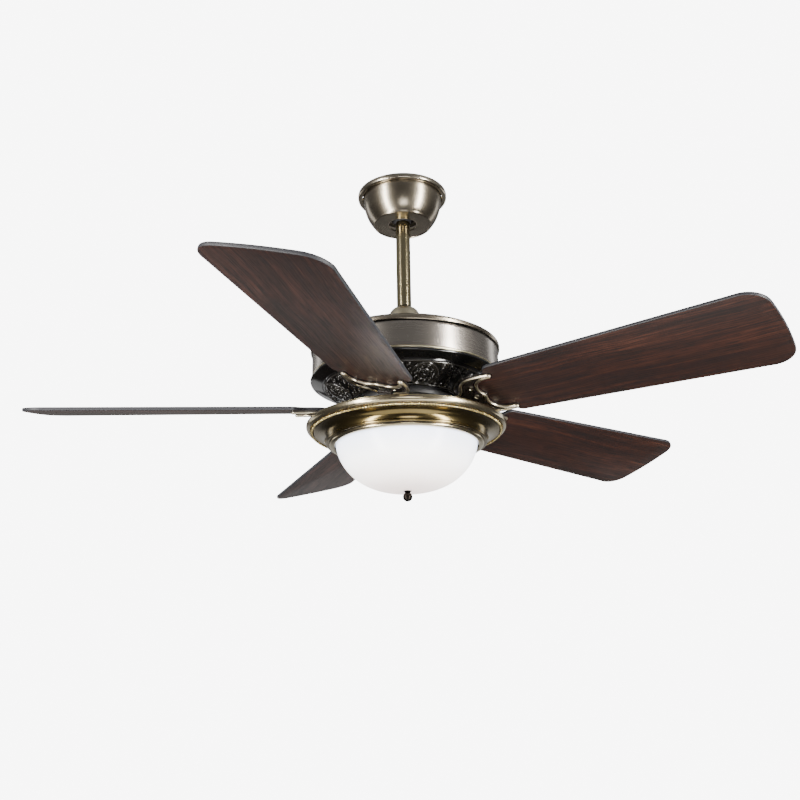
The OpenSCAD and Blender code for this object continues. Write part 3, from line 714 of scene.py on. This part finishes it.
def build_light_kit():
    r, top, foot = round_node("light_pan")
    rim = [(r - 11.4, top), (r - 3.2, top)]
    roll_r = 2.6
    rim += arc((r - roll_r, top - roll_r), roll_r, 95, 10, 8)
    rim += curve((r, top - 4.2), (r - 0.6, top - 9.4), (r - 6.4, top - 10.9), 10)
    rim += [(r - 8, top - 10.2), (r - 9.4, top - 10.4), (r - 13, top - 12), (r - 13.4, top - 13.2)]
    lathe("light_pan_rim", rim, RIM, "hanger", [], sheet=THIN_SHEET)
    foot_r, hole_r = 141.4, 134
    cove = [(r - 13.0, top - 13.4)]
    cove += curve((r - 14.0, top - 14.2), (foot_r + 3.6, top - 16.4), (foot_r, top - 28.4), 26)
    cove += arc((foot_r - 1.2, top - 31.4), 2.7, 68, -80, 12)
    cove += [(foot_r - 2.8, foot + 0.1), (hole_r, foot + 0.1)]
    lathe("light_pan_cove", cove, PAN, "hanger", ["light_pan"], sheet=THIN_SHEET)
    rope_r, rope_top, rope_foot = round_node("rope_ring")
    build_rope(rope_r - 2.2, (rope_top + rope_foot) / 2)
    top = round_node("bowl_collar")[1]
    lip_r = 136.6
    ring = [(lip_r - 3.2, top), (lip_r - 0.8, top)]
    ring += curve((lip_r, top - 0.4), (lip_r + 0.8, top - 4.4), (lip_r - 6.2, top - 5.2), 14)
    ring += [(lip_r - 8.2, top - 5.2), (lip_r - 9.4, top - 4.8)]
    lathe("bowl_collar_ring", ring, RIM, "hanger", ["bowl_collar"], sheet=THIN_SHEET)


def build_rope(radius, height):
    """A twisted rope moulding: slanted beads round a thin core, which is painted near black as the shade
    in the gaps between the beads.
    """
    beads, core_r = 204, 1.1
    reach, spread, drop = 2.5, 0.9, 0.4     # of half a bead: round the ring, inwards and down
    shape = Shape()
    core = []
    for k in range(beads):
        turn = 2 * math.pi * k / beads
        core.append((radius * math.cos(turn), radius * math.sin(turn), height))
        bead = []
        for step in (-1.0, -0.5, 0.0, 0.5, 1.0):
            lean = turn + step * reach / radius
            out = radius - spread * step
            bead.append((out * math.cos(lean), out * math.sin(lean), height - drop * step))
        shape.tube(bead, [0.6, 1.7, 2.1, 1.7, 0.6], sides=8)
    # The core takes the second material: painted shade between the beads.
    shape.tube(core, core_r, sides=6, closed=True, paint=1)
    add_piece("rope_moulding", shape.mesh("rope_moulding"), [GILT, ROPE_CORE_SHADE], "hanger",
              ["rope_ring"], sharp=60)


def build_bowl():
    r, top, foot = round_node("glass_bowl")
    neck_h, wall, hole_r, steps = 6, 3.5, 3.8, 40
    level = top - neck_h
    depth = level - foot

    def belly(radius, fall):
        """From the foot of the neck down to the hole: fuller than an ellipse at its side."""
        points = []
        for i in range(steps):
            t = math.radians(90 * i / steps)
            points.append((radius * math.cos(t) ** 0.8, level - fall * math.sin(t) ** 1.15))
        return points + [(hole_r, level - fall)]

    outside = [(r, top - 0.6)] + belly(r, depth)
    inside = list(reversed(belly(r - wall, depth - wall)))
    section = outside + inside + [(r - wall, top - 0.6), (r - wall + 0.6, top), (r - 0.6, top)]
    glass = opal_glass("opal_glass", foot, depth)
    lathe("opal_bowl", section, glass, "bowl", ["glass_bowl"])
    r, top, foot = round_node("finial")
    centre = foot + r
    neck = [(ROD_BORE_R, top), (4.6, top), (5.0, top - 0.4), (5.0, top - 1.4), (4.0, top - 2.0),
            (3.9, top - 3.0)]
    ball = arc((0, centre), r, 62, -90, 26)
    bore = [(0, top - 7.8), (ROD_BORE_R, top - 7.8)]
    lathe("finial_ball", neck + ball + bore, DARK, "finial", ["finial"], sharp=45)
    r, top, foot = round_node("bowl_washer")
    washer = [(ROD_BORE_R, foot), (r - 0.4, foot), (r, foot + 0.3), (r, top - 0.3), (r - 0.4, top),
              (ROD_BORE_R, top)]
    lathe("bowl_foot_washer", washer, DARK, "bowl", ["bowl_washer"])


# ---- Blades ----

BLADE_MID = sum(corner[2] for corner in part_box("blade_1")) / 2 / MM
TIP_R = max(math.hypot(v.co.x, v.co.y) for v in frame["nodes"]["blade_1"].data.vertices) / MM


def blade_azimuth():
    """Angle of the first CAD blade round the axis."""
    total = Vector((0.0, 0.0))
    for v in frame["nodes"]["blade_1"].data.vertices:
        total += v.co.xy
    return math.atan2(total.y, total.x)


REST_TURN = blade_azimuth()


def blade_place(i, pitched=True):
    """Where a blade's own frame lies: outwards along X, and turned to its pitch."""
    place = Matrix.Rotation(REST_TURN + 2 * math.pi * (i - 1) / BLADES, 4, "Z")
    place @= Matrix.Translation((0, 0, BLADE_MID * MM))
    if pitched:
        place @= Matrix.Rotation(-PITCH, 4, "X")
    return place


def blade_outline():
    """Outline of a blade from the middle of its root, along one side, round the tip and back."""
    root_w, tip_w, corner_r, tip_arc_r = 70, 92, 38, 568
    side_x, side_l, root_x = 200, 400, 138
    slope = (tip_w - root_w) / side_l

    def side_w(x):
        """Half the blade's width, which grows evenly from root_w at side_x."""
        return root_w + slope * (x - side_x)

    tip_arc_x = TIP_R - tip_arc_r
    corner_y = side_w(TIP_R - corner_r) - corner_r
    corner_x = tip_arc_x + math.sqrt((tip_arc_r - corner_r) ** 2 - corner_y ** 2)
    turn = math.degrees(math.atan2(corner_y, corner_x - tip_arc_x))
    half = [(root_x, 0), (root_x, 22)]
    half += curve((140, 27), (148, 47), (160, 48), 8)
    half += curve((174, 48), (184, 50), (189, 58), 7)
    half += curve((191, 62), (195, side_w(195)), (204, side_w(204)), 7)
    half += [(x, side_w(x)) for x in range(240, 620, 40)]
    half += arc((corner_x, corner_y), corner_r, 90 + math.degrees(math.atan(slope)), turn, 14)
    half += arc((tip_arc_x, 0), tip_arc_r, turn, 0, 6)[1:]
    return half + [p for p in mirrored(half) if p[1] < 0]


def blade_mesh(name, outline, place):
    """A flat board with rounded edges. Its faces take the wood, and its edges the edge band."""
    half_t, edge_r = BLADE_T / 2 * MM, 1.4 * MM
    work = bmesh.new()
    grain = work.verts.layers.float_vector.new("grain")
    top = [work.verts.new((x * MM, y * MM, half_t)) for x, y in outline]
    foot = [work.verts.new((x * MM, y * MM, -half_t)) for x, y in outline]
    work.faces.new(top)
    work.faces.new(list(reversed(foot)))
    count = len(outline)
    for k in range(count):
        work.faces.new((top[k], foot[k], foot[(k + 1) % count], top[(k + 1) % count]))
    bmesh.ops.recalc_face_normals(work, faces=work.faces)
    rims = [e for e in work.edges if len(e.link_faces) == 2
            and abs(e.link_faces[0].normal.z - e.link_faces[1].normal.z) > 0.5]
    bmesh.ops.bevel(work, geom=rims, offset=edge_r, segments=3, profile=0.5, affect="EDGES")
    for face in work.faces:
        face.material_index = 0 if abs(face.normal.z) > 0.9 else 1
    for v in work.verts:
        v[grain] = (v.co.x, v.co.y + v.co.z, v.co.z)
    work.transform(place)
    mesh = bpy.data.meshes.new(name)
    work.to_mesh(mesh)
    work.free()
    return mesh


def build_blades():
    outline = blade_outline()
    for i in range(1, BLADES + 1):
        name = f"walnut_blade_{i}"
        looks = [walnut(f"walnut_{i}", 3.7 * i), EDGE]
        add_piece(name, blade_mesh(name, outline, blade_place(i)), looks, "rotor",
                  [f"blade_{i}"], sharp=40)


# ---- Blade irons ----

IRON_TOP = -BLADE_T / 2         # the plate lies against the blade's underside
PLATE_T = 3.2


def iron_outline():
    """Half outline of a blade iron: its side from the neck to the horn, then its fork."""
    side = curve((114, 16), (124, 17), (131, 33), 7)
    side += curve((132, 35.5), (141, 53), (162, 54.5), 9)
    side += curve((166, 54.8), (180, 56), (194, 54.6), 6)
    tip = arc((196, 50), 4.6, 80, -80, 8)
    fork = curve((193, 45.4), (176, 45), (167, 34), 8)
    fork += curve((166, 32), (159, 20), (163.5, 8), 8)
    fork += [(165.2, 4.4), (167.5, 1.2)]
    return side, tip, fork


def iron_plate(i):
    """The plate under a blade, with a rolled rim, balls on its horns and a raised line."""
    side, tip, fork = iron_outline()
    half = side + tip + fork
    outline = half + mirrored(half)
    plate = Shape()
    levels = [(0.0, IRON_TOP - 0.05), (0.0, IRON_TOP - 2.6), (-0.6, IRON_TOP - PLATE_T)]
    plate.rings([[(x, y, z) for x, y in beside(outline, inset, closed=True)] for inset, z in levels])
    inner = [p for p in beside(half, -2.3) if p[1] > 2.2]
    rim = inner + mirrored(inner)
    fork_start = len(side) + len(tip) // 2
    fork_end = len(rim) - fork_start
    radii = [3.0 if fork_start <= k < fork_end else 2.5 for k in range(len(rim))]
    plate.tube([(x, y, IRON_TOP - 3.9) for x, y in rim], radii, sides=12, closed=True, paint=1)
    for sign in (-1, 1):
        plate.ball((195.6, sign * 49.9, IRON_TOP - 3.7), 4.9, paint=1, squash=0.7, rings=10, sides=16)
    line = [p for p in beside(half, -8.2) if 120 < p[0] < 180 and p[1] > 5.5]
    loop = [(x, y, IRON_TOP - 3.5) for x, y in line + mirrored(line)]
    plate.tube(loop, 0.75, sides=8, closed=True)
    return plate.mesh(f"iron_plate_{i}", blade_place(i))


def iron_neck(i):
    """From the flywheel out to the plate: it drops, narrows and twists to the blade's pitch."""
    start, length, steps, sides = 60, 62, 14, 20
    flange_z, plate_z = 2.0, IRON_TOP - 3.6
    sections = []
    for k in range(steps + 1):
        x = start + length * (k / steps)
        swing = min(max((x - 84) / 32, 0.0), 1.0)
        swing = swing * swing * (3 - 2 * swing)
        waist = math.sin(math.pi * min(max((x - 78) / 40, 0.0), 1.0))
        height = flange_z + (plate_z - flange_z) * swing
        half_w = 15 - 3.2 * waist + 1.0 * swing
        half_t = 2.0 + 1.1 * swing
        tilt = -PITCH * swing
        section = []
        for a in range(sides):
            c, s = math.cos(2 * math.pi * a / sides), math.sin(2 * math.pi * a / sides)
            y = half_w * math.copysign(abs(c) ** 0.35, c)
            z = half_t * math.copysign(abs(s) ** 0.6, s) + height
            section.append((x, y * math.cos(tilt) - z * math.sin(tilt),
                            y * math.sin(tilt) + z * math.cos(tilt)))
        sections.append(section)
    neck = Shape()
    neck.rings(sections)
    return neck.mesh(f"iron_neck_{i}", blade_place(i, pitched=False))


def build_irons():
    for i in range(1, BLADES + 1):
        name = f"curled_iron_{i}"
        add_piece(name, joined(name, [iron_plate(i), iron_neck(i)]), [IRON, IRON_RIM], "rotor",
                  [f"blade_iron_{i}"], sharp=38)


# ---- Screws ----

def screw_form(shape, head_r, head_h, shank_r, shank_l, turn):
    """A pan-head screw along +Z with its head below the origin and a real cross recess."""
    sides, rows, nearly_zero = 40, 9, 0.001
    arm, reach, depth = head_r * 0.17, head_r * 0.66, head_h * 0.45
    first = len(shape.verts)
    for i in range(rows):
        r = head_r * (i / (rows - 1)) ** 0.8 if i else nearly_zero
        crown = head_h * (1 - 0.28 * (r / head_r) ** 3)
        for k in range(sides):
            angle = 2 * math.pi * k / sides
            x, y = r * math.cos(angle + turn), r * math.sin(angle + turn)
            u, v = r * math.cos(angle), r * math.sin(angle)
            inside = r < reach and (abs(u) < arm or abs(v) < arm)
            shape.verts.append(Vector((x, y, -crown + (depth if inside else 0.0))))
    profile = [(head_r, 0.0), (shank_r, 0.0), (shank_r, shank_l - shank_r), (nearly_zero, shank_l)]
    for r, z in profile:
        for k in range(sides):
            angle = 2 * math.pi * k / sides + turn
            shape.verts.append(Vector((r * math.cos(angle), r * math.sin(angle), z)))
    for i in range(rows + len(profile) - 1):
        a, b = first + i * sides, first + (i + 1) * sides
        for k in range(sides):
            shape.add_face((a + k, a + (k + 1) % sides, b + (k + 1) % sides, b + k))
    last = first + (rows + len(profile) - 1) * sides
    shape.add_face(tuple(first + k for k in reversed(range(sides))))
    shape.add_face(tuple(last + k for k in range(sides)))


def build_screws(name, places, sizes, material, body, node):
    """One piece that holds every screw of a kind. places are matrices, in metres, and sizes are
    the head's radius and height and the shank's radius and length."""
    rng = random.Random(name)
    meshes = []
    for place in places:
        shape = Shape()
        screw_form(shape, *sizes, rng.uniform(0, math.pi))
        meshes.append(shape.mesh("screw", place))
    add_piece(name, joined(name, meshes), [material], body, [node], sharp=28)


def build_all_screws():
    def at(x, y, z):
        return Matrix.Translation((x * MM, y * MM, z * MM))

    irons, blades = [], []
    for i in range(1, BLADES + 1):
        for x, y in ((74, 11), (74, -11)):
            irons.append(blade_place(i, pitched=False) @ at(x, y, 0))
        for x, y in ((150, 26), (146, 0), (150, -26)):
            blades.append(blade_place(i) @ at(x, y, IRON_TOP - PLATE_T))
    build_screws("iron_fixing_screws", irons, (4.6, 2.6, 2.4, 12), ANTIQUE, "rotor",
                 "iron_screws")
    build_screws("blade_fixing_screws", blades, (4.2, 2.4, 2.15, 8), SCREW, "rotor",
                 "blade_screws")
    dome_top = round_node("housing_dome")[1]
    downwards = Matrix.Rotation(math.pi, 4, "X")
    covers = []
    for k in range(4):
        turn = Matrix.Rotation(math.radians(45 + 90 * k), 4, "Z")
        covers.append(turn @ at(29, 0, dome_top) @ downwards)
    build_screws("cover_screws", covers, (3.6, 2.0, 1.9, 6), ANTIQUE, "hanger",
                 "dome_screws")
    canopy_r = round_node("canopy")[0]
    inwards = Matrix.Rotation(-math.pi / 2, 4, "Y")
    sides = [Matrix.Rotation(math.pi * k, 4, "Z") @ at(canopy_r + 0.1, 0, -7) @ inwards for k in range(2)]
    build_screws("canopy_side_screws", sides, (3.0, 2.0, 1.9, 6), ANTIQUE, "ceiling",
                 "canopy_screws")


# ---- Camera, lights and backdrop ----

def build_camera():
    """The photograph's viewpoint, worked out from the round rims: below the blades, looking up."""
    yaw, pitch, roll = -0.0062, 0.3253, -0.0163
    away, height = 1.7093, -0.992
    ahead = Vector((math.sin(yaw) * math.cos(pitch), math.cos(yaw) * math.cos(pitch), math.sin(pitch)))
    level = Vector((math.cos(yaw), -math.sin(yaw), 0.0))
    above = level.cross(ahead)
    right = level * math.cos(roll) + above * math.sin(roll)
    up = above * math.cos(roll) - level * math.sin(roll)
    data = bpy.data.cameras.new("camera")
    data.sensor_width = 36.0
    data.lens = 45.324
    camera = bpy.data.objects.new("camera", data)
    bpy.context.scene.collection.objects.link(camera)
    camera.matrix_world = Matrix((
        (right.x, up.x, -ahead.x, 0.0), (right.y, up.y, -ahead.y, -away),
        (right.z, up.z, -ahead.z, height), (0.0, 0.0, 0.0, 1.0)))
    bpy.context.scene.camera = camera


def soft_box(name, azimuth, distance, height, size, power, colour=(1.0, 1.0, 1.0)):
    """An area light that faces the fan, at an azimuth counted from the camera's side."""
    data = bpy.data.lights.new(name, "AREA")
    data.shape = "RECTANGLE"
    data.size, data.size_y = size
    data.energy = power
    data.color = colour
    light = bpy.data.objects.new(name, data)
    bpy.context.scene.collection.objects.link(light)
    angle = math.radians(azimuth)
    light.location = (math.sin(angle) * distance, -math.cos(angle) * distance, height)
    fan_middle = Vector((0, 0, -0.42))
    aim = fan_middle - light.location
    light.rotation_euler = aim.to_track_quat("-Z", "Y").to_euler()
    light.visible_camera = False


def glow(name, colour, strength):
    """A material that only shines."""
    material = bpy.data.materials.new(name)
    material.use_nodes = True
    tree = material.node_tree
    tree.nodes.clear()
    emission = tree.nodes.new("ShaderNodeEmission")
    emission.inputs["Color"].default_value = (*colour, 1.0)
    emission.inputs["Strength"].default_value = strength
    output = tree.nodes.new("ShaderNodeOutputMaterial")
    tree.links.new(emission.outputs[0], output.inputs["Surface"])
    return material


def stage_piece(name, work, material, height=0.0):
    """Makes a bmesh into a part of the studio, which isn't part of the fan."""
    mesh = bpy.data.meshes.new(name)
    work.to_mesh(mesh)
    work.free()
    mesh.materials.append(material)
    thing = bpy.data.objects.new(name, mesh)
    thing.location.z = height
    bpy.context.scene.collection.objects.link(thing)
    return thing


def build_backdrop():
    """A white sphere round everything, which only the camera sees."""
    work = bmesh.new()
    bmesh.ops.create_uvsphere(work, u_segments=48, v_segments=24, radius=9.0)
    backdrop = stage_piece("backdrop", work, glow("backdrop_white", (1.0, 1.0, 1.0), 8.0))
    for kind in ("diffuse", "glossy", "transmission", "volume_scatter", "shadow"):
        setattr(backdrop, f"visible_{kind}", False)


def build_floor():
    """A pale disc, low enough not to hide the fan in a view from below."""
    look = Look("floor_pale", Roughness=0.8, Emission_Strength=3.2)
    pale = look.ramp(look.noise(look.place(3.0)), [(0.0, (0.78, 0.78, 0.77)), (1.0, (0.86, 0.86, 0.85))])
    look.link(pale, "Base Color")
    look.link(pale, "Emission Color")
    work = bmesh.new()
    bmesh.ops.create_circle(work, cap_ends=True, segments=96, radius=7.0)
    floor = stage_piece("floor", work, look.made, height=-4.3)
    floor.visible_glossy = False
    floor.visible_diffuse = False


def build_world():
    """Light from all round: dim at the sides and below, and brighter from above."""
    sky = Look("studio", "worlds", "Background", Strength=0.8)
    direction = sky.node("ShaderNodeTexCoord").outputs["Generated"]
    height = sky.node("ShaderNodeSeparateXYZ", {"Vector": direction}).outputs["Z"]
    stops = [(0.0, (0.10, 0.10, 0.10)), (0.5, (0.11, 0.107, 0.103)), (1.0, (0.55, 0.56, 0.58))]
    sky.link(sky.ramp(sky.span(height, 0.0, 1.0, -1.0, 1.0), stops), "Color")
    bpy.context.scene.world = sky.made


def build_lights():
    """Two narrow strips draw the bright lines on the metal, and the rest is weak and wide."""
    soft_box("strip_left", -50, 2.3, -0.9, (0.30, 3.6), 200, (1.0, 0.98, 0.95))
    soft_box("strip_right", 54, 2.3, -0.9, (0.34, 3.6), 220, (1.0, 0.98, 0.95))
    soft_box("edge_left", -128, 2.6, -0.4, (0.5, 2.4), 9)
    soft_box("edge_right", 128, 2.6, -0.4, (0.5, 2.4), 9)
    soft_box("fill_front", 4, 3.2, -1.6, (1.2, 0.8), 26)
    soft_box("fill_below", 0, 0.2, -2.35, (2.0, 1.6), 24)
    soft_box("sheen_back", 180, 3.4, -0.9, (4.4, 1.5), 13)


build_camera()
build_backdrop()
build_floor()
build_world()
build_lights()
dress_cad_nodes()
build_canopy()
build_rod_and_trim()
band_level = build_housing()
build_filigree(band_level)
build_light_kit()
build_bowl()
build_blades()
build_irons()
build_all_screws()
